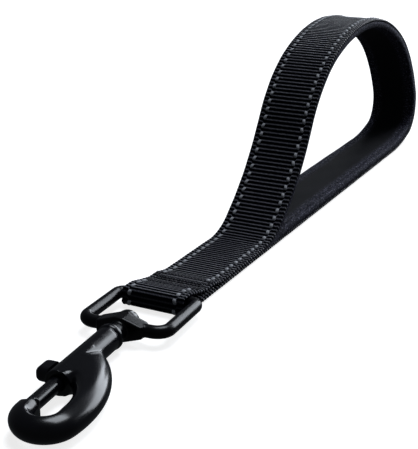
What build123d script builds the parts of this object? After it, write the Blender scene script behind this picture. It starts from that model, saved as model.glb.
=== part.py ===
"""Short traffic lead: padded hand loop of 1 inch webbing with a swivel bolt snap.

Millimetres, +Z up.  The lead lies on the plane z = 0.  The origin is on that plane, straight below the
middle of the swivel eye's rear bar.  The snap and its eye lie along -X; the strap leaves along +X,
slewed a few degrees about the bar, because the eye sits loosely in the strap's fold.
"""
import os
from math import asin, cos, radians, sin

from build123d import *

os.makedirs("parts", exist_ok=True)

# ---------------------------------------------------------------- strap
STRAP_WIDTH = 25.4
WEBBING = 1.5                # thickness of the woven strap
PADDING = 3.3                # thickness of the lining
DOUBLED = 2 * WEBBING        # two sewn layers between the eye and the loop
STRAP_SLEW = -4.5            # degrees, strap against the snap's axis
PAD_INSET = 0.8              # lining stops this far inside each strap edge

# Outer face of the hand loop, from the end of the flat leg round to the throat: (radius, turn in degrees).
# The crest radius is worked out so that the loop comes down exactly onto the doubled strap.
LIFT = (105.0, 16.0)
HEEL = (17.0, 97.0)
BACK = (77.5, 39.0)
BROW = (120.0, 48.0)
CREST_TURN = 37.5
SHIN = (129.0, -22.0)
FOOT = (30.0, -35.5)
THROAT_X = 65.2              # where the two legs part
PAD_START = 74.0             # lining starts here

# Fold round the eye's bar
FOLD_WALL = 1.4              # the webbing is drawn a little thinner round the bar
FOLD_SLACK = 1.85            # half of the free play along the strap
BAR_GAP = 0.1                # between the bar and the webbing round it
FOLD_TAIL = 25.0             # end of the folded-back tail
TOP_END = 13.0               # end of the top layer, sewn over the tail

# Seams
THREAD_WIDTH = 0.9
THREAD_DEPTH = 0.5
THREAD_MARGIN = 3.4          # seam line to strap edge
SEAM_START = 26.0            # seams run from here round the loop and back
TACK_BAND = (14.5, 24.0)
TACK_THICKNESS = 0.4
TACK_WIDTH = 24.0

# ---------------------------------------------------------------- snap and eye
AXIS_Z = 4.8                 # height of the snap's axis above the surface
BAR_Z = 3.85                 # height of the rear bar, which rests on the strap's lower layer
WIRE = 4.7                   # eye wire diameter
EYE_HALF = 15.6              # axis to the middle of each eye leg
EYE_LENGTH = 29.2            # rear bar to front bar
EYE_FRONT_CORNER = 4.6
EYE_REAR_CORNER = 3.0
BOSS_TOP = (1.5, 4.55)       # half width of the boss's flat top, and its height over the axis
BOSS_FOOT = (8.6, 2.2)       # where the boss's flanks run out into the front bar
BOSS_SPAN = (-32.6, -26.6)
BOSS_ROUND = 0.8
BOSS_BORE = 2.05
NECK_RADIUS = 3.4
NECK_END = -36.6
RIVET_SHANK = 2.0
RIVET_HEAD = 4.1
RIVET_HEAD_SIDE = 1.2
RIVET_HEAD_DOME = 3.4
RIVET_END = -42.6
RIVET_GAP = 0.2

BARREL_RADIUS = 4.4
BARREL_SPAN = (-73.2, -37.0)
COLLAR_RADIUS = 4.7
COLLAR_LENGTH = 2.6
COLLAR_GROOVE = (0.7, 0.4)   # width and depth of the groove in front of the collar
BORE_RADIUS = 2.5
BORE_END = -42.6
HOOK_THICKNESS = 8.4
HOOK_ROUND = 4.0             # rounding of the hook's outside
TIP_ROUND = 2.0              # rounding of the face that meets the bolt
MOUTH_ROUND = 1.0            # rounding of the hook's inside
HOOK_START = (-51.2, -4.1)   # where the hook's back leaves the barrel
HOOK_HEADING = 228.0         # direction of the back there, in degrees from +X
BACK_RADIUS = 46.0
BACK_TURN = 58.0
BOW_RADIUS = 11.2
TIP_X = -87.8
TIP_INSIDE = -3.4
ARM_LENGTH = 5.0             # straight stretch inside the tip, and the way it leans
ARM_LEAN = 7.0
THROAT_RADIUS = 3.3
MOUTH_RADIUS = 22.0
MOUTH_TURN = 42.0

BOLT_RADIUS = 2.45
BOLT_SPAN = (-87.5, -60.9)
BOLT_TRAVEL = 13.0
STUD_X = -67.1
STUD_NECK = (3.8, 2.6)
STUD_HEAD = (8.0, 5.2)
STUD_REACH = 9.4
STUD_CORNER = 2.1
STUD_ROUND = 2.0
STUD_GAP = 0.3
SLOT_CLEARANCE = 0.2

SPRING_WIRE = 0.5
SPRING_RADIUS = 2.0
SPRING_COILS = 7

SNAP = Plane(origin=(0, 0, AXIS_Z), x_dir=(1, 0, 0), z_dir=(0, 0, 1))
SNAP_AXIS = Axis(SNAP.origin, SNAP.x_dir)
EYE_TILT = asin((AXIS_Z - BAR_Z) / EYE_LENGTH)
EYE = Plane(origin=(0, 0, BAR_Z), x_dir=(cos(EYE_TILT), 0, -sin(EYE_TILT)), z_dir=(sin(EYE_TILT), 0, cos(EYE_TILT)))
STRAP = Plane(origin=(0, 0, 0), x_dir=(cos(radians(STRAP_SLEW)), sin(radians(STRAP_SLEW)), 0), z_dir=(0, 0, 1))
# Side view of the strap: local x along the strap, local y up, normal across the strap to its right.
STRAP_SIDE = Plane(origin=STRAP.origin, x_dir=STRAP.x_dir, z_dir=-STRAP.y_dir)


def arc_run(radius, start, turn):
    """Horizontal and vertical run of an arc that starts at a heading and turns by an angle, in degrees."""
    side = 1 if turn > 0 else -1
    first, last = radians(start), radians(start + turn)
    return side * radius * (sin(last) - sin(first)), side * radius * (cos(first) - cos(last))


def loop_arcs():
    """The loop's arcs with the crest radius that closes it, and the length of the flat leg."""
    rise_in = (LIFT, HEEL, BACK, BROW)
    fall_out = (SHIN, FOOT)
    heading, height = 0.0, 0.0
    for radius, turn in rise_in:
        height += arc_run(radius, heading, turn)[1]
        heading += turn
    after_crest = heading + CREST_TURN
    for radius, turn in fall_out:
        height += arc_run(radius, after_crest, turn)[1]
        after_crest += turn
    crest_radius = (DOUBLED - height) / arc_run(1.0, heading, CREST_TURN)[1]
    arcs = (*rise_in, (crest_radius, CREST_TURN), *fall_out)
    heading, run = 0.0, 0.0
    for radius, turn in arcs:
        run += arc_run(radius, heading, turn)[0]
        heading += turn
    return arcs, THROAT_X - run


LOOP_ARCS, FLAT_END = loop_arcs()


def loop_area(inset, start):
    """Everything inside the strap's outer face at a depth, beyond a start point along the strap."""
    with BuildSketch() as area:
        with BuildLine():
            edges = [Line((FLAT_END - 1, inset), (FLAT_END, inset))]
            for radius, turn in LOOP_ARCS:
                depth = inset if turn > 0 else -inset
                edges.append(JernArc(edges[-1] @ 1, edges[-1] % 1, radius - depth, turn))
            foot = edges[-1] @ 1
            Polyline(foot, (-20, foot.Y), (-20, -30), (FLAT_END - 1, -30), (FLAT_END - 1, inset))
        make_face()
        with Locations((start, inset)):
            Rectangle(400, 200, align=(Align.MIN, Align.MIN), mode=Mode.INTERSECT)
    return area.sketch


def loop_band(low, high, start, width, offset=0.0):
    """Strip that follows the strap between two depths, with a width and an offset across the strap."""
    with BuildPart() as strip:
        with BuildSketch(STRAP_SIDE.offset(offset)):
            add(loop_area(low, start))
            add(loop_area(high, start), mode=Mode.SUBTRACT)
        extrude(amount=width / 2, both=True)
    return strip.part


def write(part, name):
    part.label = name
    export_step(part, f"parts/{name}.step")
    print(f"{name:24s} {part.volume:9.1f} mm3")


# ---------------------------------------------------------------- strap
SEAM_OFFSET = STRAP_WIDTH / 2 - THREAD_MARGIN
LINING_FACE = WEBBING + PADDING


def beside(rim, lines):
    """Whether an edge runs above or below one of the lines of an outline drawn on the plane z = 0."""
    middle = rim @ 0.5
    return min(line.distance_to(Vertex(middle.X, middle.Y, 0)) for line in lines) < 0.01


def seam(low, high, start, offset):
    return loop_band(low, high, start, THREAD_WIDTH, offset)


outer_right = seam(0, THREAD_DEPTH, SEAM_START, SEAM_OFFSET)
outer_left = seam(0, THREAD_DEPTH, SEAM_START, -SEAM_OFFSET)
inner_right = seam(LINING_FACE - THREAD_DEPTH, LINING_FACE, PAD_START, SEAM_OFFSET)
inner_left = seam(LINING_FACE - THREAD_DEPTH, LINING_FACE, PAD_START, -SEAM_OFFSET)

# The strap: flat leg, loop, doubled stretch, and the fold with its tail under the top layer.
with BuildPart() as handle_webbing:
    with BuildSketch(STRAP_SIDE):
        with BuildSketch(mode=Mode.PRIVATE) as fold:
            with Locations((0, BAR_Z)):
                SlotCenterToCenter(2 * FOLD_SLACK, WIRE + 2 * BAR_GAP + 2 * FOLD_WALL)
            with Locations((-2, 0)):
                Rectangle(TOP_END + 3, DOUBLED + WEBBING, align=(Align.MIN, Align.MIN))
            make_hull()
        add(fold.sketch)
        with Locations((TOP_END, 0)):
            Rectangle(FOLD_TAIL - TOP_END, DOUBLED + WEBBING, align=(Align.MIN, Align.MIN))
        add(loop_area(0, TOP_END))
        add(loop_area(WEBBING, PAD_START), mode=Mode.SUBTRACT)
        with Locations((0, BAR_Z)):
            SlotCenterToCenter(2 * FOLD_SLACK, WIRE + 2 * BAR_GAP, mode=Mode.SUBTRACT)
    extrude(amount=STRAP_WIDTH / 2, both=True)
    add(outer_right, mode=Mode.SUBTRACT)
    add(outer_left, mode=Mode.SUBTRACT)
write(handle_webbing.part, "handle_webbing")

with BuildPart() as handle_padding:
    add(loop_band(WEBBING, LINING_FACE, PAD_START, STRAP_WIDTH - 2 * PAD_INSET))
    add(inner_right, mode=Mode.SUBTRACT)
    add(inner_left, mode=Mode.SUBTRACT)
write(handle_padding.part, "handle_padding")

write(outer_right, "reflective_thread_right")
write(outer_left, "reflective_thread_left")
write(inner_right, "lining_thread_right")
write(inner_left, "lining_thread_left")

# Tack band over the three layers that close the fold
with BuildPart() as eye_tack:
    with BuildSketch(STRAP.offset(DOUBLED + WEBBING)):
        with Locations(((TACK_BAND[0] + TACK_BAND[1]) / 2, 0)):
            RectangleRounded(TACK_BAND[1] - TACK_BAND[0], TACK_WIDTH, 0.8)
    extrude(amount=TACK_THICKNESS)
write(eye_tack.part, "eye_tack")

# ---------------------------------------------------------------- swivel eye
with BuildPart() as swivel_eye:
    with BuildLine(EYE) as wire_path:
        FilletPolyline(
            (0, -EYE_HALF),
            (0, EYE_HALF),
            (-EYE_LENGTH, EYE_HALF),
            (-EYE_LENGTH, -EYE_HALF),
            radius=[EYE_REAR_CORNER, EYE_REAR_CORNER, EYE_FRONT_CORNER, EYE_FRONT_CORNER],
            close=True,
        )
    with BuildSketch(Plane(wire_path.line @ 0, z_dir=wire_path.line % 0)):
        Circle(WIRE / 2)
    sweep()
    # The front bar flares up to a flat-faced boss, with a round neck towards the barrel
    with BuildSketch(Plane((BOSS_SPAN[0], 0, AXIS_Z), x_dir=(0, 1, 0), z_dir=(1, 0, 0))):
        half_top, crest = BOSS_TOP
        half_foot, flank = BOSS_FOOT
        Polygon(
            (half_top, crest),
            (half_foot, flank),
            (half_foot, -flank),
            (half_top, -crest),
            (-half_top, -crest),
            (-half_foot, -flank),
            (-half_foot, flank),
            (-half_top, crest),
            align=None,
        )
    boss = extrude(amount=BOSS_SPAN[1] - BOSS_SPAN[0], mode=Mode.PRIVATE)
    rims = boss.edges().filter_by(Axis.X, reverse=True)
    add(boss.fillet(BOSS_ROUND, rims))
    with Locations(Plane((BOSS_SPAN[0], 0, AXIS_Z), z_dir=(-1, 0, 0))):
        Cylinder(NECK_RADIUS, BOSS_SPAN[0] - NECK_END, align=(Align.CENTER, Align.CENTER, Align.MIN))
    with Locations(Plane((BOSS_SPAN[0], 0, AXIS_Z), z_dir=(1, 0, 0))):
        Cylinder(BOSS_BORE, 40, align=(Align.CENTER, Align.CENTER, Align.CENTER), mode=Mode.SUBTRACT)
write(swivel_eye.part, "swivel_eye")

# ---------------------------------------------------------------- rivet between eye and barrel
with BuildPart() as swivel_rivet:
    with BuildSketch(SNAP):
        with BuildLine():
            seat = BOSS_SPAN[1] + RIVET_GAP
            shank = Polyline(
                (seat + RIVET_HEAD_SIDE + RIVET_HEAD_DOME, 0),
                (RIVET_END, 0),
                (RIVET_END, RIVET_SHANK),
                (seat, RIVET_SHANK),
                (seat, RIVET_HEAD),
                (seat + RIVET_HEAD_SIDE, RIVET_HEAD),
            )
            crown_radius = (RIVET_HEAD**2 + RIVET_HEAD_DOME**2) / (2 * RIVET_HEAD_DOME)
            RadiusArc(shank @ 1, shank @ 0, crown_radius)
        make_face()
    revolve(axis=SNAP_AXIS)
write(swivel_rivet.part, "swivel_rivet")

# ---------------------------------------------------------------- snap body: barrel, web and hook
with BuildPart() as snap_body:
    with BuildSketch(SNAP.offset(-HOOK_THICKNESS / 2)):
        with BuildLine():
            root = Line((HOOK_START[0], 0), HOOK_START)
            heading = Vector(1, 0).rotate(Axis.Z, HOOK_HEADING)
            back = JernArc(root @ 1, heading, BACK_RADIUS, -BACK_TURN)
            bow = JernArc(back @ 1, back % 1, BOW_RADIUS, BACK_TURN - HOOK_HEADING)
            crest = Line(bow @ 1, (TIP_X, (bow @ 1).Y))
            tip = Line(crest @ 1, (TIP_X, TIP_INSIDE))
            arm = PolarLine(tip @ 1, ARM_LENGTH, 180 + ARM_LEAN)
            throat = JernArc(arm @ 1, arm % 1, THROAT_RADIUS, 180 - ARM_LEAN)
            rise_start = BARREL_SPAN[0] - MOUTH_RADIUS * sin(radians(MOUTH_TURN))
            floor = Line(throat @ 1, (rise_start, (throat @ 1).Y))
            rise = JernArc(floor @ 1, floor % 1, MOUTH_RADIUS, MOUTH_TURN)
            mouth = Line(rise @ 1, (BARREL_SPAN[0], 0))
            Line(mouth @ 1, root @ 0)
        make_face()
    extrude(amount=HOOK_THICKNESS)
    rims = snap_body.faces().filter_by(Axis.Z).edges()
    fillet(rims.filter_by(lambda rim: beside(rim, (back, bow, crest))), HOOK_ROUND)
    rims = snap_body.faces().filter_by(Axis.Z).edges()
    fillet(rims.filter_by(lambda rim: beside(rim, (tip,))), TIP_ROUND)
    rims = snap_body.faces().filter_by(Axis.Z).edges()
    fillet(rims.filter_by(lambda rim: beside(rim, (arm, throat, floor, rise))), MOUTH_ROUND)
    with BuildSketch(SNAP) as barrel_half:
        with Locations((BARREL_SPAN[0], 0)):
            Rectangle(BARREL_SPAN[1] - BARREL_SPAN[0], BARREL_RADIUS, align=(Align.MIN, Align.MIN))
        with Locations((BARREL_SPAN[1], 0)):
            Rectangle(COLLAR_LENGTH, COLLAR_RADIUS, align=(Align.MAX, Align.MIN))
        chamfer(barrel_half.vertices().group_by(Axis.Y)[-1], 0.5)
        with Locations((BARREL_SPAN[1] - COLLAR_LENGTH, BARREL_RADIUS)):
            Rectangle(COLLAR_GROOVE[0], 2 * COLLAR_GROOVE[1], align=(Align.MAX, Align.CENTER), mode=Mode.SUBTRACT)
    revolve(axis=SNAP_AXIS)
    # Bore for the bolt and its spring, and the smaller hole that grips the rivet's shank
    with Locations(Plane((BORE_END, 0, AXIS_Z), z_dir=(-1, 0, 0))):
        Cylinder(BORE_RADIUS, 40, align=(Align.CENTER, Align.CENTER, Align.MIN), mode=Mode.SUBTRACT)
    with Locations(Plane((BORE_END, 0, AXIS_Z), z_dir=(1, 0, 0))):
        Cylinder(RIVET_SHANK, 10, align=(Align.CENTER, Align.CENTER, Align.MIN), mode=Mode.SUBTRACT)
    # Slot for the thumb stud's neck
    with BuildSketch(Plane((STUD_X, 0, AXIS_Z), x_dir=(1, 0, 0), z_dir=(0, 1, 0))):
        with Locations((BOLT_TRAVEL / 2, 0)):
            slot_length = STUD_NECK[0] + BOLT_TRAVEL + 2 * SLOT_CLEARANCE
            RectangleRounded(slot_length, STUD_NECK[1] + 2 * SLOT_CLEARANCE, 0.9)
    extrude(amount=10, mode=Mode.SUBTRACT)
write(snap_body.part, "snap_body")

# ---------------------------------------------------------------- sprung bolt and its thumb stud
with BuildPart() as snap_bolt:
    with BuildSketch(SNAP) as bolt_half:
        with Locations((BOLT_SPAN[0], 0)):
            Rectangle(BOLT_SPAN[1] - BOLT_SPAN[0], BOLT_RADIUS, align=(Align.MIN, Align.MIN))
        chamfer(bolt_half.vertices().group_by(Axis.Y)[-1], 0.4)
    revolve(axis=SNAP_AXIS)
    with BuildSketch(Plane((STUD_X, 0, AXIS_Z), x_dir=(1, 0, 0), z_dir=(0, 1, 0))):
        RectangleRounded(*STUD_NECK, 0.8)
    extrude(amount=10, mode=Mode.SUBTRACT)
write(snap_bolt.part, "snap_bolt")

with BuildPart() as thumb_stud:
    with BuildSketch(Plane((STUD_X, 0, AXIS_Z), x_dir=(1, 0, 0), z_dir=(0, 1, 0))):
        RectangleRounded(*STUD_NECK, 0.8)
    extrude(amount=BARREL_RADIUS + STUD_GAP + 1)
    with BuildSketch(Plane((STUD_X, BARREL_RADIUS + STUD_GAP, AXIS_Z), x_dir=(1, 0, 0), z_dir=(0, 1, 0))):
        RectangleRounded(*STUD_HEAD, STUD_CORNER)
    extrude(amount=STUD_REACH - BARREL_RADIUS - STUD_GAP)
    fillet(thumb_stud.faces().sort_by(Axis.Y)[-1].edges(), STUD_ROUND)
write(thumb_stud.part, "thumb_stud")

# ---------------------------------------------------------------- spring behind the bolt
with BuildPart() as bolt_spring:
    free_length = BORE_END - BOLT_SPAN[1] - SPRING_WIRE - 0.2
    start = BOLT_SPAN[1] + SPRING_WIRE / 2 + 0.1
    with BuildLine():
        coil = Helix(
            pitch=free_length / SPRING_COILS,
            height=free_length,
            radius=SPRING_RADIUS,
            center=(start, 0, AXIS_Z),
            direction=(1, 0, 0),
        )
    with BuildSketch(Plane(coil @ 0, z_dir=coil % 0)):
        Circle(SPRING_WIRE / 2)
    sweep(is_frenet=True)
write(bolt_spring.part, "bolt_spring")
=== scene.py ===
"""Looks of the short traffic lead: webbing, lining, stitching and black coated snap hardware."""
import math

import bpy
import numpy as np
from mathutils import Matrix, Vector


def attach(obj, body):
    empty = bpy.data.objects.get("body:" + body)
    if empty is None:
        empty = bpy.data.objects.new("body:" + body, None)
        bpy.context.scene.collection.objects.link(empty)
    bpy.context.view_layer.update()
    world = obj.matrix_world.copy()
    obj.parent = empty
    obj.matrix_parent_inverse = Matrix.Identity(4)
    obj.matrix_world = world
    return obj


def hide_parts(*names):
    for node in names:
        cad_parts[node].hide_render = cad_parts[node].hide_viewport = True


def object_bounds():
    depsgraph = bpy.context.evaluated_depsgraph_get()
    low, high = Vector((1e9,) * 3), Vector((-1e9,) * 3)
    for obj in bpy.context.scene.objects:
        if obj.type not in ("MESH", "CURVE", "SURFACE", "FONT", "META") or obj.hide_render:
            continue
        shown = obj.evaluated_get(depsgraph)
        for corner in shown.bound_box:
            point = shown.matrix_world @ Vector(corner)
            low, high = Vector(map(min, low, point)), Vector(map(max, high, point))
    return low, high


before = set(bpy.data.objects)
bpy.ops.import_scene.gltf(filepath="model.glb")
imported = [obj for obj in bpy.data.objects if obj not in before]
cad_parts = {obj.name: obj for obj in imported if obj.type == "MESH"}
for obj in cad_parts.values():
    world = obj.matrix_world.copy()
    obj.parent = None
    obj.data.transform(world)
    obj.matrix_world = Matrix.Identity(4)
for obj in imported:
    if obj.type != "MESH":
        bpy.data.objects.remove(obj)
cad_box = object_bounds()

MM = 0.001
scene = bpy.context.scene
scene.view_settings.view_transform = "Standard"
scene.view_settings.look = "None"

# ---------------------------------------------------------------- the strap's route
# as in the CAD; lengths are in mm and turns in degrees unless a comment says otherwise
SLEW = math.radians(-4.5)    # the strap's turn away from the snap's axis
LEAN = 0.022                 # sideways lean of the standing loop, per mm of height
HALF_WIDTH = 12.7
THICK = 1.45                 # of the webbing
LAYER = 1.5                  # the rise of one layer of webbing, with its clearance
PAD = 3.25                   # thickness of the lining
BAR_Z = 3.85                 # height of the eye's rear bar
BAR_R = 2.4                  # radius of that bar, with the fold's clearance
LEG_START = 9.5              # end of the flat leg, under the fold's tail
# radius and turn of each arc round the hand loop; the crest's radius is worked out below
LOOP = [
    (105.0, 16.0),
    (17.0, 97.0),
    (77.5, 39.0),
    (120.0, 48.0),
    (None, 37.5),
    (129.0, -22.0),
    (30.0, -35.5),
]
THROAT = (65.2, 3.0)         # where the loop comes down onto the flat leg: along the strap, and up
STEP_UP = (24.0, 29.5)       # the top layer climbs over the tail: radius, start along the strap
FOLD_THICK = 1.12            # the webbing is pulled thin round the bar
FOLD_R = BAR_R + FOLD_THICK
FOLD_PLAY = 3.3              # how far the fold's top runs on past the bar's middle
FOLD_CORNER = 1.6            # radius of the fold's two front corners
FOLD_TURN = 80.0             # turn of the first of them, down to the fold's flat front face
RAMP = (16.0, 0.6, 20.0, 8.0)    # the slope up to the fold: start, end, and the radii at its foot and head
TAIL = (3.2, 8.0, 14.0)      # the tail behind the fold: first run, radius of its two bends, last run
RIB = 2.0                    # rib pitch
DASH = 4.0                   # stitch pitch
SEAM_T = 9.3                 # seam line from the strap's middle


def arc_run(radius, start, turn):
    """Run and rise of an arc that starts at a heading and makes a turn."""
    side = 1 if turn > 0 else -1
    a, b = math.radians(start), math.radians(start + turn)
    return side * radius * (math.sin(b) - math.sin(a)), side * radius * (math.cos(a) - math.cos(b))


def closed_loop():
    """The loop's arcs, with the crest radius that brings it down to the throat, and the flat leg's end."""
    heading, height, crest = 0.0, 0.0, None
    for i, (radius, turn) in enumerate(LOOP):
        if radius is None:
            crest = (i, heading, turn)
        else:
            height += arc_run(radius, heading, turn)[1]
        heading += turn
    i, start, turn = crest
    arcs = list(LOOP)
    arcs[i] = ((THROAT[1] - height) / arc_run(1.0, start, turn)[1], turn)
    heading, run = 0.0, 0.0
    for radius, turn in arcs:
        run += arc_run(radius, heading, turn)[0]
        heading += turn
    return arcs, THROAT[0] - run


ARCS, FLAT_END = closed_loop()


class Route:
    """A side-view curve of straight runs and arcs: ("line", length) or ("arc", radius, turn)."""

    def __init__(self, start, heading, moves):
        self.parts, self.length = [], 0.0
        x, z, h = start[0], start[1], heading
        for kind, size, turn in moves:
            length = size if kind == "line" else size * abs(math.radians(turn))
            self.parts.append((self.length, length, kind, size, turn, x, z, h))
            if kind == "line":
                x, z = x + size * math.cos(math.radians(h)), z + size * math.sin(math.radians(h))
            else:
                dx, dz = arc_run(size, h, turn)
                x, z, h = x + dx, z + dz, h + turn
            self.length += length

    def at(self, d):
        """Arrays of place along the strap, height and heading (radians) at distances d."""
        d = np.clip(np.asarray(d, float), 0, self.length)
        out = np.zeros((3, d.size))
        for first, length, kind, size, turn, x, z, h in self.parts:
            m = (d >= first - 1e-9) & (d <= first + length + 1e-9)
            u = d[m] - first
            a = math.radians(h)
            if kind == "line":
                out[:, m] = x + u * math.cos(a), z + u * math.sin(a), a + 0 * u
            else:
                side = 1 if turn > 0 else -1
                b = a + side * u / size
                out[:, m] = (
                    x + side * size * (np.sin(b) - math.sin(a)),
                    z + side * size * (math.cos(a) - np.cos(b)),
                    b,
                )
        return out


def s_bend(radius, rise):
    """Turn of each of two equal opposite arcs that move a line sideways by a rise, and the run they take."""
    turn = math.degrees(math.acos(1 - rise / (2 * radius)))
    return turn, 2 * radius * math.sin(math.radians(turn))


def ramp(first, second, rise, run):
    """Turn and straight length of a ramp between two levels, with its two end radii."""
    low, high = 1.0, math.degrees(math.acos(1 - rise / (first + second)))
    for _ in range(60):
        turn = (low + high) / 2
        a = math.radians(turn)
        straight = (rise - (first + second) * (1 - math.cos(a))) / math.sin(a)
        reach = (first + second) * math.sin(a) + straight * math.cos(a)
        low, high = (turn, high) if reach > run else (low, turn)
    return turn, straight


FOLD_TOP = BAR_Z + FOLD_R
step_turn, step_run = s_bend(STEP_UP[0], LAYER)
ramp_turn, ramp_line = ramp(RAMP[2], RAMP[3], FOLD_TOP - 3 * LAYER, RAMP[0] - RAMP[1])
fold_face = (2 * FOLD_R - 2 * FOLD_CORNER) / math.sin(math.radians(FOLD_TURN))
tail_turn = s_bend(TAIL[1], LAYER)[0]
moves = [("line", FLAT_END - LEG_START, 0)]
moves += [("arc", radius, turn) for radius, turn in ARCS]
before_fold = len(moves)
moves += [
    ("line", THROAT[0] - STEP_UP[1], 0),
    ("arc", STEP_UP[0], -step_turn),
    ("arc", STEP_UP[0], step_turn),
    ("line", STEP_UP[1] - step_run - RAMP[0], 0),
    ("arc", RAMP[2], -ramp_turn),
    ("line", ramp_line, 0),
    ("arc", RAMP[3], ramp_turn),
    ("line", RAMP[1] + FOLD_PLAY, 0),
    ("arc", FOLD_CORNER, FOLD_TURN),
    ("line", fold_face, 0),
    ("arc", FOLD_CORNER, 180.0 - FOLD_TURN),
    ("line", TAIL[0], 0),
    ("arc", TAIL[1], tail_turn),
    ("arc", TAIL[1], -tail_turn),
    ("line", TAIL[2], 0),
]
STRAP = Route((LEG_START, 0.0), 0.0, moves)


def start_of(i):
    """Distance along the strap at which one of its moves starts."""
    return STRAP.parts[i][0]


# distances along the strap: the throat, the level stretch that is tacked, and the fold's first corner
THROAT_D = start_of(before_fold)
TACK_D = start_of(before_fold + 3)
FOLD_D = start_of(before_fold + 8)


def to_frame(s, t, z):
    """Strap coordinates in mm (along, across, up) to metres in the shared frame."""
    t = t + LEAN * np.maximum(z - THROAT[1], 0)
    x = s * math.cos(SLEW) - t * math.sin(SLEW)
    y = s * math.sin(SLEW) + t * math.cos(SLEW)
    return np.stack([x, y, z], -1) * MM


def place(d, t, depth):
    """Points at distance d along the strap, t across it and a depth below its outer face."""
    s, z, a = (v.reshape(np.shape(d)) for v in STRAP.at(np.ravel(d)))
    return to_frame(s - depth * np.sin(a), t, z + depth * np.cos(a))


def smoothstep(low, high, v):
    """A soft step from 0 at low to 1 at high; low may be the larger."""
    x = np.clip((v - low) / (high - low), 0, 1)
    return x * x * (3 - 2 * x)


def tube_faces(n, m, offset=0):
    """Quads of a tube of n rings of m points, closed round each ring, with its two end caps."""
    i = np.arange(n - 1)[:, None] * m
    j = np.arange(m)[None, :]
    k = (j + 1) % m
    quads = np.stack([i + j, i + k, i + m + k, i + m + j], -1).reshape(-1, 4) + offset
    faces = quads.tolist()
    faces.append([offset + v for v in range(m)][::-1])
    faces.append([offset + (n - 1) * m + v for v in range(m)])
    return faces


def make(name, points, faces, attributes=None):
    """A smooth-shaded object, with numbers or vectors kept at its points for its material to read."""
    me = bpy.data.meshes.new(name)
    me.from_pydata(np.asarray(points).reshape(-1, 3).tolist(), [], faces)
    me.validate()
    for key, values in (attributes or {}).items():
        values = np.asarray(values, dtype=np.float32)
        kind, field = ("FLOAT_VECTOR", "vector") if values.ndim == 2 else ("FLOAT", "value")
        me.attributes.new(key, kind, "POINT").data.foreach_set(field, values.ravel())
    me.polygons.foreach_set("use_smooth", [True] * len(me.polygons))
    me.update()
    ob = bpy.data.objects.new(name, me)
    scene.collection.objects.link(ob)
    return ob


# ---------------------------------------------------------------- materials
class Nodes:
    """Short helpers for one node tree."""

    def __init__(self, name):
        self.material = bpy.data.materials.new(name)
        self.material.use_nodes = True
        self.tree = self.material.node_tree
        self.shader = self.tree.nodes["Principled BSDF"]

    def node(self, kind, **values):
        n = self.tree.nodes.new(kind)
        for key, value in values.items():
            setattr(n, key, value)
        return n

    def link(self, a, b):
        self.tree.links.new(a, b)

    def feed(self, socket, value):
        """Give a socket a number, a colour or another node's output."""
        if isinstance(value, (int, float)):
            socket.default_value = value
        elif isinstance(value, tuple):
            socket.default_value = (*value, 1)
        else:
            self.link(value, socket)

    def math(self, operation, *values):
        n = self.node("ShaderNodeMath", operation=operation)
        for socket, value in zip(n.inputs, values):
            self.feed(socket, value)
        return n.outputs[0]

    def attribute(self, name):
        return self.node("ShaderNodeAttribute", attribute_name=name)

    def noise(self, scale, detail, rough):
        n = self.node("ShaderNodeTexNoise")
        n.inputs["Scale"].default_value = scale
        n.inputs["Detail"].default_value = detail
        n.inputs["Roughness"].default_value = rough
        self.link(self.node("ShaderNodeTexCoord").outputs["Object"], n.inputs["Vector"])
        return n.outputs[0]

    def ramp(self, value, stops):
        n = self.node("ShaderNodeValToRGB")
        r = n.color_ramp
        while len(r.elements) < len(stops):
            r.elements.new(0.5)
        for e, (at, colour) in zip(r.elements, stops):
            e.position = at
            e.color = (*colour, 1)
        self.link(value, n.inputs[0])
        return n.outputs[0]

    def mix(self, factor, a, b, blend="MIX"):
        n = self.node("ShaderNodeMix", data_type="RGBA", blend_type=blend)
        for i, value in ((0, factor), (6, a), (7, b)):
            self.feed(n.inputs[i], value)
        return n.outputs[2]

    def bump(self, height, distance, strength):
        n = self.node("ShaderNodeBump")
        n.inputs["Strength"].default_value = strength
        n.inputs["Distance"].default_value = distance
        self.link(height, n.inputs["Height"])
        return n.outputs[0]

    def set(self, **values):
        """Feed the shader's sockets, each named with underscores for spaces, and give the material."""
        for key, value in values.items():
            self.feed(self.shader.inputs[key.replace("_", " ")], value)
        return self.material


YARN = 0.62                  # yarn pitch across the strap


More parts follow.
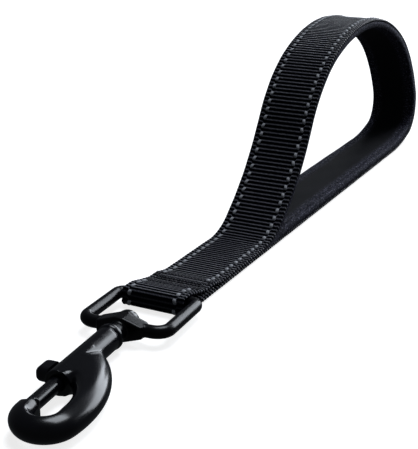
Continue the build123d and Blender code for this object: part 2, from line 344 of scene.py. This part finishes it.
def webbing_material():
    """Ribbed webbing: the mesh keeps each point's rib count, its place across and its painted shade."""
    n = Nodes("ribbed_webbing")
    weave = n.node("ShaderNodeSeparateXYZ")
    n.link(n.attribute("weave").outputs["Vector"], weave.inputs[0])
    along, across, painted_shade = weave.outputs
    # each rib is a row of yarns that lie side by side; alternate ribs are shifted by half a yarn
    rib = n.math("FLOOR", along)
    shift = n.math("MULTIPLY", n.math("MODULO", rib, 2.0), 0.5)
    turns = n.math("ADD", n.math("DIVIDE", across, YARN), shift)
    yarn = n.math("SINE", n.math("MULTIPLY", turns, 2 * math.pi))
    crest = n.math("SINE", n.math("MULTIPLY", n.math("FRACT", along), math.pi))
    raised = n.math("ADD", n.math("MULTIPLY", yarn, 0.5), 0.5)
    lump = n.math("MULTIPLY", raised, crest)
    fuzz = n.noise(4200.0, 3.0, 0.65)
    patch = n.noise(90.0, 2.0, 0.5)
    height = n.math("ADD", n.math("MULTIPLY", lump, 0.7), n.math("MULTIPLY", fuzz, 0.5))
    fibre = n.math("ADD", n.math("MULTIPLY", fuzz, 0.65), n.math("MULTIPLY", lump, 0.36))
    colour = n.ramp(fibre, [
        (0.25, (0.003, 0.0032, 0.005)),
        (0.55, (0.025, 0.026, 0.034)),
        (0.85, (0.13, 0.133, 0.16)),
    ])
    # painted shade in the valleys between ribs, and crests painted paler: partly wear, mostly a painted
    # highlight
    rib_wear_and_painted_light = n.ramp(crest, [
        (0.0, (0.02, 0.02, 0.03)),
        (0.72, (0.08, 0.08, 0.1)),
        (0.92, (0.9, 0.9, 0.92)),
        (1.0, (1.9, 1.9, 1.95)),
    ])
    colour = n.mix(1.0, colour, rib_wear_and_painted_light, "MULTIPLY")
    shade = n.ramp(patch, [(0.3, (0.85, 0.85, 0.87)), (0.7, (1.1, 1.1, 1.1))])
    colour = n.mix(1.0, colour, shade, "MULTIPLY")
    # painted shade mixed in at the strap's edges and on the fold's front face
    colour = n.mix(n.math("MULTIPLY", painted_shade, 0.3), colour, (0.008, 0.0085, 0.014))
    smoothed = n.math("SUBTRACT", 0.86, n.math("MULTIPLY", crest, 0.58))
    rough = n.math("ADD", n.math("MULTIPLY", fuzz, 0.2), smoothed)
    gloss = n.math("MULTIPLY", n.math("POWER", crest, 9.0), 0.42)
    return n.set(
        Base_Color=colour,
        Roughness=rough,
        Normal=n.bump(height, 0.0003, 1.0),
        Specular_IOR_Level=gloss,
    )


def lining_material():
    """A dull knit, plain in the middle and flecked towards its stitched edges."""
    n = Nodes("lining_knit")
    edge = n.attribute("edge").outputs["Fac"]
    grain = n.noise(2600.0, 3.0, 0.6)
    speck = n.noise(1150.0, 2.0, 0.8)
    patch = n.noise(60.0, 2.0, 0.5)
    plain = n.ramp(grain, [(0.3, (0.0045, 0.0046, 0.0064)), (0.7, (0.0085, 0.0087, 0.0118))])
    fleck = n.ramp(speck, [
        (0.4, (0.004, 0.004, 0.009)),
        (0.55, (0.02, 0.0203, 0.034)),
        (0.7, (0.16, 0.16, 0.21)),
    ])
    colour = n.mix(edge, plain, fleck)
    shade = n.ramp(patch, [(0.3, (0.88, 0.9, 0.9)), (0.7, (1.1, 1.1, 1.1))])
    colour = n.mix(1.0, colour, shade, "MULTIPLY")
    flecked = n.math("MULTIPLY", n.math("MULTIPLY", speck, edge), 1.6)
    deep = n.math("ADD", n.math("MULTIPLY", grain, 0.25), flecked)
    return n.set(
        Base_Color=colour,
        Roughness=n.math("ADD", n.math("MULTIPLY", grain, 0.2), 0.72),
        Normal=n.bump(deep, 0.0003, 0.7),
        Specular_IOR_Level=0.08,
    )


def thread_material(name, low, high, rough):
    """Thread whose fibres run from a low colour to a high one."""
    n = Nodes(name)
    twist = n.noise(5200.0, 2.0, 0.6)
    return n.set(
        Base_Color=n.ramp(twist, [(0.3, low), (0.7, high)]),
        Roughness=n.math("ADD", n.math("MULTIPLY", twist, 0.2), rough),
        Normal=n.bump(twist, 0.00012, 0.8),
        Specular_IOR_Level=0.2,
    )


def metal_material(name, base, rough, spread, level):
    """A coated casting: a base colour, a roughness and how far it spreads, and a reflection level."""
    n = Nodes(name)
    cloud = n.noise(140.0, 3.0, 0.6)
    skin = n.noise(900.0, 2.0, 0.5)
    colour = n.ramp(cloud, [(0.3, base), (0.75, tuple(1.5 * c for c in base))])
    return n.set(
        Base_Color=colour,
        Roughness=n.math("ADD", n.math("MULTIPLY", cloud, spread), rough),
        Normal=n.bump(skin, 0.00002, 0.15),
        Specular_IOR_Level=level,
    )


def spring_material():
    n = Nodes("spring_wire")
    streak = n.noise(700.0, 3.0, 0.6)
    return n.set(
        Base_Color=n.ramp(streak, [(0.3, (0.38, 0.38, 0.4)), (0.7, (0.55, 0.55, 0.57))]),
        Metallic=1.0,
        Roughness=n.math("ADD", n.math("MULTIPLY", streak, 0.2), 0.2),
    )


WEBBING = webbing_material()
LINING = lining_material()
REFLECTIVE = thread_material("reflective_thread", (0.15, 0.155, 0.17), (0.42, 0.43, 0.46), 0.45)
BLACK_THREAD = thread_material("black_thread", (0.001, 0.001, 0.002), (0.02, 0.02, 0.028), 0.5)
COATED = metal_material("black_coating", (0.0014, 0.0014, 0.0024), 0.15, 0.1, 0.33)
EYE_COATED = metal_material("eye_coating", (0.0012, 0.0012, 0.002), 0.22, 0.12, 0.2)
SPRING_STEEL = spring_material()


def dress(ob, material):
    """Give an object one material."""
    ob.data.materials.clear()
    ob.data.materials.append(material)


# ---------------------------------------------------------------- camera
# the view was fitted to the strap's edges and ribs, its flat leg and the eye
CAMERA_AT = (-0.3151, -0.1482, 0.1554)    # in metres
VIEW_AZIMUTH, VIEW_DROP, VIEW_ROLL = (math.radians(v) for v in (22.2, 19.54, 0.24))
forward = Vector((
    math.cos(VIEW_DROP) * math.cos(VIEW_AZIMUTH),
    math.cos(VIEW_DROP) * math.sin(VIEW_AZIMUTH),
    -math.sin(VIEW_DROP),
))
right = forward.cross(Vector((0, 0, 1))).normalized()
up = right.cross(forward)
rolled = math.cos(VIEW_ROLL) * right + math.sin(VIEW_ROLL) * up
upright = math.cos(VIEW_ROLL) * up - math.sin(VIEW_ROLL) * right
camera = bpy.data.objects.new("camera", bpy.data.cameras.new("camera"))
scene.collection.objects.link(camera)
camera.matrix_world = Matrix.Translation(CAMERA_AT) @ Matrix(
    (rolled, upright, -forward)
).transposed().to_4x4()
camera.data.sensor_width = 36.0
camera.data.lens = 83.37
camera.data.clip_start, camera.data.clip_end = 0.01, 50.0
scene.camera = camera

# ---------------------------------------------------------------- webbing
RIB_DEPTH = 0.55
STEPS = 6                    # rows of points on each rib
MARGIN = (9.9, 10.3)         # offsets between which the ribs give way to those of the margin
MARGIN_HEIGHT = 1.1
GROOVE = (0.16, 0.5)         # depth and width of the groove that each seam pulls
VALLEY = (0.35, 11.2, 0.35)  # depth, offset and width of the valley beside each edge
FOLD_FRONT = (1.2, 2.6)      # painted shade: the fold's front face darkens between these distances past its corner's start
FOLD_UNDER = (11.0, 9.0)     # and is plain again between these
# strength of the painted shade at the strap's edges and on the fold's front face
EDGE_SHADE, FOLD_FACE_SHADE = 0.5, 2.6


def ring_of(half, thick, outer, inner, round_points):
    """Closed section of a flat strip: offsets across it and depths below its outer face."""
    r = thick / 2
    flat = half - r
    turn = np.linspace(0, math.pi, round_points + 2)[1:-1]
    t = np.concatenate([
        np.linspace(-flat, flat, outer),
        flat + r * np.sin(turn),
        np.linspace(flat, -flat, inner),
        -flat - r * np.sin(turn),
    ])
    depth = np.concatenate([
        np.zeros(outer),
        r - r * np.cos(turn),
        np.full(inner, thick),
        thick - r + r * np.cos(turn),
    ])
    return t, depth


def rib_arch(u):
    """Height of one round rib, from 0 in a valley to 1 on its crest, at rib count u."""
    x = 2 * (u - np.floor(u)) - 1
    return np.sqrt(np.maximum(1 - x * x, 0))


def rib_height(u, t):
    """Height of the weave at rib count u and offset t; the margin's ribs are half a rib further on."""
    middle = rib_arch(u)
    margin = MARGIN_HEIGHT * rib_arch(u + 0.5)
    w = smoothstep(*MARGIN, np.abs(t))
    groove = GROOVE[0] * np.exp(-(((np.abs(t) - SEAM_T) / GROOVE[1]) ** 2))
    valley = VALLEY[0] * np.exp(-(((np.abs(t) - VALLEY[1]) / VALLEY[2]) ** 2))
    return middle * (1 - w) + margin * w - groove - valley


def thickness(d):
    """The webbing's thickness at distances along it; it is pulled thin on its way into the fold."""
    return THICK - (THICK - FOLD_THICK) * smoothstep(FOLD_D - 14.0, FOLD_D - 5.0, d)


def build_webbing():
    """The whole strap as one ribbed band."""
    rows = int(STRAP.length / RIB * STEPS)
    d = np.arange(rows + 1) * RIB / STEPS
    t, depth = ring_of(HALF_WIDTH, THICK, outer=30, inner=10, round_points=4)
    D, T = np.meshgrid(d, t, indexing="ij")
    Z = np.broadcast_to(depth, D.shape) * (thickness(D) / THICK)
    h = rib_height(D / RIB, T)
    outer = smoothstep(0.9, 0.1, Z / THICK * 2)
    inner = smoothstep(0.9, 0.1, (THICK - Z) / THICK * 2)
    Z = Z + outer * RIB_DEPTH * (1 - h) - inner * 0.5 * RIB_DEPTH * (1 - h)
    # the edges wander a little
    wave = 0.05 * np.sin(D / 7.3) * np.sin(D / 3.1 + 1.3)
    T = T + np.sign(T) * wave * smoothstep(11.0, 12.5, np.abs(T))
    points = place(D, T, Z)
    # painted shade: the cloth darkened a little at its edges, and far more on the fold's front face, which
    # lies in shade
    past = [FOLD_D + v for v in FOLD_FRONT + FOLD_UNDER]
    front = smoothstep(past[0], past[1], D) * smoothstep(past[2], past[3], D)
    painted_shade = EDGE_SHADE * smoothstep(11.6, 12.6, np.abs(T))
    painted_shade = painted_shade + FOLD_FACE_SHADE * front * smoothstep(12.7, 12.2, np.abs(T))
    shifted = 0.5 * smoothstep(*MARGIN, np.abs(T))
    weave = np.stack([D / RIB + shifted, T, painted_shade], -1).reshape(-1, 3)
    return make("strap_webbing", points, tube_faces(*D.shape), attributes={"weave": weave})


webbing = build_webbing()
dress(webbing, WEBBING)
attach(webbing, "handle")
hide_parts("handle_webbing")

# ---------------------------------------------------------------- lining
PAD_FROM = 66.5              # where the lining starts on the flat leg; it ends just above, 1 mm further on
PAD_HALF = 12.6              # half of its width
PAD_SEAM = 8.0               # beyond this offset its points are closer together
PAD_MIN = 0.12               # its thickness where the two legs meet
LEGS_NEAR = 130              # up to this place along the strap the gap between the legs limits it
PAD_CLEAR = 0.04             # kept free between its two faces there
PAD_SUNK = 0.15              # how far its underside is sunk into the webbing
FLECKED = (5.8, 9.0)         # the knit becomes flecked between these offsets
SEARCH, SEARCH_STEP = 30, 0.25    # how far back from the throat its end is looked for, and in what steps
leg_first = PAD_FROM - LEG_START
back = STRAP.at(np.arange(THROAT_D - SEARCH, THROAT_D + 1, SEARCH_STEP))
leg_last = THROAT_D - SEARCH + SEARCH_STEP * int(np.argmin(np.abs(back[0] - PAD_FROM - 1.0)))


def lining_room(d):
    """The lining's room at distances along the strap: half of the gap between the legs near the throat."""
    s, z, _ = STRAP.at(d)
    upper = STRAP.at(np.arange(THROAT_D - 120, THROAT_D, 0.5))
    order = np.argsort(upper[0])
    top = np.interp(s, upper[0][order], upper[1][order])
    on_flat_leg = z < 1.0
    gap = np.where(on_flat_leg, top, z) - 2 * THICK
    return np.where(s < LEGS_NEAR, np.maximum(gap * 0.5 - PAD_CLEAR, PAD_MIN), PAD)


# the lining's height over the webbing, as a share of its thickness, at offsets from the strap's middle
LINING_PROFILE = (
    (0, 5, PAD_SEAM, 8.7, SEAM_T, 10.0, 11.0, 11.8, 12.2, 12.5, PAD_HALF),
    (1.0, 1.0, 0.99, 0.95, 0.88, 0.97, 1.0, 0.95, 0.8, 0.45, 0.0),
)


def build_lining():
    """The lining, its thickness at each row of points, and the rows' distances along the strap."""
    step = 0.8
    d = np.arange(leg_first, leg_last, step)
    room = np.minimum(lining_room(d), PAD)
    # its thickness changes gently along the strap
    for _ in range(6):
        room[1:-1] = np.minimum(room[1:-1], (room[:-2] + 2 * room[1:-1] + room[2:]) / 4)
    t = np.concatenate([
        np.linspace(-PAD_HALF, -PAD_SEAM, 19)[:-1],
        np.linspace(-PAD_SEAM, PAD_SEAM, 15)[:-1],
        np.linspace(PAD_SEAM, PAD_HALF, 19),
    ])
    # level in the middle, pressed down along the seams, and rounded off at the edges
    crown = np.interp(np.abs(t), LINING_PROFILE[0], LINING_PROFILE[1])
    D, T = np.meshgrid(d, t, indexing="ij")
    # each stitch draws the lining in, and the whole of it ripples
    pinch = 0.12 * np.exp(-(((np.abs(T) - SEAM_T) / 0.9) ** 2))
    pucker = 1 - pinch * (0.5 + 0.5 * np.cos(2 * math.pi * D / DASH))
    ripple = 1 + 0.02 * np.sin(D / 9.0 + 0.6 * np.sin(T / 4)) + 0.015 * np.sin(D / 4.7 + T / 3)
    height = np.broadcast_to(crown, D.shape) * room[:, None] * pucker * ripple
    top = place(D, T, THICK + height)
    bottom_t = np.linspace(PAD_HALF, -PAD_HALF, 7)[1:-1]
    Db, Tb = np.meshgrid(d, bottom_t, indexing="ij")
    bottom = place(Db, Tb, np.full(Db.shape, THICK - PAD_SUNK))
    points = np.concatenate([top, bottom], axis=1)
    edge = np.concatenate([smoothstep(*FLECKED, np.abs(T)), np.ones(Db.shape)], axis=1)
    faces = [f[::-1] for f in tube_faces(*points.shape[:2])]
    ob = make("loop_lining", points, faces, attributes={"edge": edge.ravel()})
    return ob, room, d


lining, pad_room, pad_d = build_lining()
dress(lining, LINING)
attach(lining, "handle")
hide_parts("handle_padding")


# ---------------------------------------------------------------- stitches
STITCH_SLANT = 0.18          # each stitch's lean across the strap, per mm of its length
THREAD_SUNK = 0.16           # depth at which the reflective thread leaves the webbing


def stitch_row(
    name, t0, first, last, depth_at, material, node,
    length=2.5, wide=0.72, high=0.38, skip=None, inward=False,
):
    """A row of lockstitches along the strap: short rounded threads that dip into the cloth at both ends."""
    ribs, around = 9, 8
    v = np.linspace(-1, 1, ribs)
    w = np.linspace(0, 2 * math.pi, around, endpoint=False)
    points, faces = [], []
    count = 0
    rng = np.random.default_rng(7)
    for d0 in np.arange(first, last, DASH):
        if skip and skip[0] < d0 < skip[1]:
            continue
        jitter = rng.uniform(-0.12, 0.12, 3)
        half = length / 2 * (1 + 0.5 * jitter[0])
        size = np.sqrt(np.maximum(1 - v**4, 0)) * 0.85 + 0.15
        lift = high * (1 - 1.5 * np.abs(v) ** 3)
        V, W = np.meshgrid(v, w, indexing="ij")
        S, L = size[:, None], lift[:, None]
        D = d0 + V * half
        T = t0 + np.sin(W) * wide * S + V * half * (STITCH_SLANT + jitter[1]) * np.sign(t0) + jitter[2] * 0.5
        up = L + np.cos(W) * high * 0.8 * S
        depth = depth_at(D)
        depth = depth + up if inward else depth - up
        points.append(place(D, T, depth).reshape(-1, 3))
        faces += tube_faces(ribs, around, count)
        count += ribs * around
    ob = make(name, np.concatenate(points), faces)
    dress(ob, material)
    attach(ob, "handle")
    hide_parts(node)


def outer_depth(D):
    """Depth at which a thread leaves the webbing's outer face."""
    return np.full(np.shape(D), THREAD_SUNK)


def lining_depth(D):
    """Depth at which a thread leaves the lining, a little inside its pressed-down seams."""
    room = np.interp(np.ravel(D), pad_d, pad_room).reshape(np.shape(D))
    return THICK + 0.74 * room


for side, sign in (("right", -1), ("left", 1)):
    stitch_row(
        f"reflective_stitches_{side}", sign * SEAM_T, 6.0, FOLD_D + 9.0, outer_depth, REFLECTIVE,
        f"reflective_thread_{side}", skip=(TACK_D - 2.4, TACK_D + 9.0),
    )
    stitch_row(
        f"lining_stitches_{side}", sign * SEAM_T, leg_first + 14, leg_last - 14, lining_depth, BLACK_THREAD,
        f"lining_thread_{side}", length=2.2, wide=0.4, high=0.26, inward=True,
    )


# ---------------------------------------------------------------- tack stitches over the fold
# each row's place along the strap, half length, pitch and lean of its stitches
TACK_ROWS = (
    (-2.6, 0.9, 0.7, 0.3),
    (0.2, 1.0, 0.62, 0.26),
    (3.0, 0.8, 0.9, 0.4),
    (6.2, 1.1, 0.62, 0.3),
    (8.6, 0.8, 0.75, 0.3),
)
TACK_HALF = 11.9             # the rows' ends across the strap


def build_tack():
    """Rows of dense zigzag thread across the strap that close the fold round the bar."""
    ribs, around = 7, 6
    rng = np.random.default_rng(11)
    points, faces, count = [], [], 0
    v = np.linspace(-1, 1, ribs)
    w = np.linspace(0, 2 * math.pi, around, endpoint=False)
    for centre, half, pitch, lean in TACK_ROWS:
        for k, t0 in enumerate(np.arange(-TACK_HALF, TACK_HALF + 0.01, pitch)):
            j = rng.uniform(-1, 1, 3)
            V, W = np.meshgrid(v, w, indexing="ij")
            S = (np.sqrt(np.maximum(1 - v**4, 0)) * 0.8 + 0.2)[:, None]
            D = TACK_D + centre + 0.2 * j[0] + V * half * (1 + 0.15 * j[1])
            T = t0 + 0.12 * j[2] + V * lean * (1 if k % 2 else -1) + np.sin(W) * 0.24 * S
            lift = 0.3 * (1 - 1.2 * np.abs(V) ** 3) + np.cos(W) * 0.2 * S
            points.append(place(D, T, 0.14 - lift).reshape(-1, 3))
            faces += tube_faces(ribs, around, count)
            count += ribs * around
    return make("tack_stitches", np.concatenate(points), faces)


tack = build_tack()
dress(tack, BLACK_THREAD)
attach(tack, "handle")
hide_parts("eye_tack")


# ---------------------------------------------------------------- hardware
def bake(ob):
    """Replace an object's mesh with what its modifiers make of it."""
    graph = bpy.context.evaluated_depsgraph_get()
    me = bpy.data.meshes.new_from_object(ob.evaluated_get(graph))
    old = ob.data
    ob.modifiers.clear()
    ob.data = me
    bpy.data.meshes.remove(old)
    return me


AXIS = 4.8                   # height of the snap's axis
COLLAR = 4.7                 # radius of the collar, the widest part of the barrel
BARREL_TIP = -73.2           # the end of the barrel at the hook's mouth
BARREL_R = 4.4               # radius that the barrel keeps
WEB_START, WEB_FULL = -51.0, -60.0    # the web between barrel and hook thickens from one to the other
WEB_HALF, WEB_GAIN = 1.6, 2.7         # half of its thickness at the start, and what it gains
WEB_SIDE = -2.2              # beside the barrel, the web starts this far from its axis
HOOK_HALF = 4.2              # half of the hook's thickness
HOOK_ROUNDS = (4.0, 1.0)     # rounding of its outside and of its inside
CROWN = 4.25                 # the crowned hook's half thickness at its highest
CROWN_WIDTHS = (6.5, 3.6)    # how far in from the outside and the inside it goes on rising
UNDER_WIDTH = 4.2            # and how far at most on the underside
RIVET_SEAT, RIVET_TOP = -26.4, -21.8    # the ends of the rivet's head
RIVET_CORE = 2.3             # the rivet keeps its shape inside this radius
# a head's radius, its shoulder and the length of its dome as shares of its height, and a least value
CAD_HEAD = (4.1, 0.26, 0.76, 0.02)
DRUM_HEAD = (4.35, 0.45, 0.56, 0)


def points_of(me):
    """A mesh's points in mm."""
    co = np.empty(len(me.vertices) * 3)
    me.vertices.foreach_get("co", co)
    return co.reshape(-1, 3) / MM


def move_points(me, co):
    """Put a mesh's points at places in mm."""
    me.vertices.foreach_set("co", (co * MM).ravel())


def wall_outline(me, half):
    """Points along the rim of the hook's upright wall, this far above its middle plane."""
    co = points_of(me)
    ends = np.empty(len(me.edges) * 2, int)
    me.edges.foreach_get("vertices", ends)
    first, last = co[ends.reshape(-1, 2)].transpose(1, 0, 2)
    rim = (np.abs(first[:, 2] - AXIS - half) < 0.01) & (np.abs(last[:, 2] - AXIS - half) < 0.01)
    rim &= (first[:, 1] < -COLLAR) | (first[:, 0] < BARREL_TIP)
    first, last = first[rim][:, None, :2], last[rim][:, None, :2]
    share = np.linspace(0, 1, 8)[None, :, None]
    return (first + (last - first) * share).reshape(-1, 2)


def domed(me):
    """The hook's faces crowned towards its outline, and its web sloped down beside the barrel."""
    co = points_of(me)
    rise = np.ones(len(co))
    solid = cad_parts["snap_body"].data
    for rounding, width in zip(HOOK_ROUNDS, CROWN_WIDTHS):
        near = np.full(len(co), 1e9)
        for q in wall_outline(solid, HOOK_HALF - rounding):
            near = np.minimum(near, np.hypot(co[:, 0] - q[0], co[:, 1] - q[1]))
        top = np.clip(near / width, 0, 1)
        low = np.clip(near / min(width, UNDER_WIDTH), 0, 1)
        inward = np.where(co[:, 2] > AXIS, top, low)
        rise = np.minimum(rise, np.sqrt(1 - (1 - inward) ** 2))
    limit = CROWN * rise
    web = (co[:, 1] < WEB_SIDE) | (co[:, 0] < BARREL_TIP - 0.8)
    slope = WEB_HALF + WEB_GAIN * np.clip((WEB_START - co[:, 0]) / (WEB_START - WEB_FULL), 0, 1) ** 0.8
    on_web = (co[:, 0] < WEB_START) & web
    barrel = np.sqrt(np.clip(BARREL_R**2 - co[:, 1] ** 2, 0, None)) * (co[:, 0] > BARREL_TIP)
    limit = np.maximum(np.minimum(limit, slope), barrel)
    height = co[:, 2] - AXIS
    co[:, 2] = AXIS + np.where(on_web, np.clip(height, -limit, limit), height)
    move_points(me, co)


def head_radius(along, radius, shoulder, dome, least):
    """Radius of a head at a share of its height: full up to its shoulder, then domed."""
    return radius * np.sqrt(np.clip(1 - np.clip((along - shoulder) / dome, 0, 1) ** 2, least, 1))


def flat_headed(me):
    """The rivet's head as a short drum with a shallow dome."""
    co = points_of(me)
    along = (co[:, 0] - RIVET_SEAT) / (RIVET_TOP - RIVET_SEAT)
    wanted = head_radius(along, *DRUM_HEAD)
    drawn = head_radius(along, *CAD_HEAD)
    outside = (along > -0.02) & (np.hypot(co[:, 1], co[:, 2] - AXIS) > RIVET_CORE)
    gain = np.where(outside, np.clip(wanted / drawn, 1, 1.6), 1)
    co[:, 1] *= gain
    co[:, 2] = AXIS + (co[:, 2] - AXIS) * gain
    move_points(me, co)


def cast(node, name, voxel, rounds, body, shape=None, finish=COATED):
    """A cast piece: the CAD solid remeshed evenly, its creases softened as a casting's are."""
    ob = bpy.data.objects.new(name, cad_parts[node].data.copy())
    scene.collection.objects.link(ob)
    remesh = ob.modifiers.new("even", "REMESH")
    remesh.mode = "VOXEL"
    remesh.voxel_size = voxel
    bake(ob)
    if shape:
        shape(ob.data)
    smooth = ob.modifiers.new("soften", "SMOOTH")
    smooth.factor = 0.5
    smooth.iterations = rounds
    me = bake(ob)
    me.polygons.foreach_set("use_smooth", [True] * len(me.polygons))
    me.update()
    dress(ob, finish)
    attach(ob, body)
    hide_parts(node)


cast("swivel_rivet", "rivet_casting", voxel=0.00022, rounds=5, body="snap", shape=flat_headed)
cast("snap_body", "snap_casting", voxel=0.00027, rounds=16, body="snap", shape=domed)
cast("swivel_eye", "swivel_casting", voxel=0.00027, rounds=10, body="eye", finish=EYE_COATED)
for node in ("snap_bolt", "thumb_stud"):
    dress(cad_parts[node], COATED)
dress(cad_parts["bolt_spring"], SPRING_STEEL)

# ---------------------------------------------------------------- floor and light
FLOOR_HALF, FLOOR_Z = 8, -0.0006    # in metres; just below the stitches under the flat leg
corners = [(FLOOR_HALF * x, FLOOR_HALF * y, FLOOR_Z) for x, y in ((-1, -1), (1, -1), (1, 1), (-1, 1))]
floor_me = bpy.data.meshes.new("floor")
floor_me.from_pydata(corners, [], [(0, 1, 2, 3)])
floor = bpy.data.objects.new("floor", floor_me)
scene.collection.objects.link(floor)
paper = Nodes("paper")
tone = paper.noise(30.0, 2.0, 0.5)
dress(floor, paper.set(
    Base_Color=paper.ramp(tone, [(0.3, (0.44, 0.44, 0.44)), (0.7, (0.46, 0.46, 0.46))]),
    Roughness=0.9,
    Specular_IOR_Level=0.1,
    Emission_Color=(1.0, 1.0, 1.0),
    Emission_Strength=0.8,
))
floor.visible_glossy = False
floor.visible_diffuse = False

middle = (cad_box[0] + cad_box[1]) / 2
DAYLIGHT = (0.87, 0.925, 1.0)
SKY = (0.85, 0.92, 1.0, 1)
SKY_STRENGTH = 0.07


def softbox(name, azimuth, elevation, distance, size, power):
    """A rectangular light that faces the object from an azimuth, from +X towards +Y, and an elevation."""
    a, e = math.radians(azimuth), math.radians(elevation)
    way = Vector((math.cos(e) * math.cos(a), math.cos(e) * math.sin(a), math.sin(e)))
    data = bpy.data.lights.new(name, "AREA")
    data.shape = "RECTANGLE"
    data.size, data.size_y = size
    data.energy = power
    data.color = DAYLIGHT
    ob = bpy.data.objects.new(name, data)
    scene.collection.objects.link(ob)
    ob.location = middle + way * distance
    ob.rotation_mode = "QUATERNION"
    ob.rotation_quaternion = way.to_track_quat("Z", "Y")


softbox("back_panel", azimuth=-16, elevation=20, distance=3.0, size=(2.6, 1.5), power=92)
softbox("top_box", azimuth=-10, elevation=72, distance=3.0, size=(1.5, 1.5), power=72)
world = bpy.data.worlds.new("world")
world.use_nodes = True
world.node_tree.nodes["Background"].inputs[0].default_value = SKY
world.node_tree.nodes["Background"].inputs[1].default_value = SKY_STRENGTH
scene.world = world
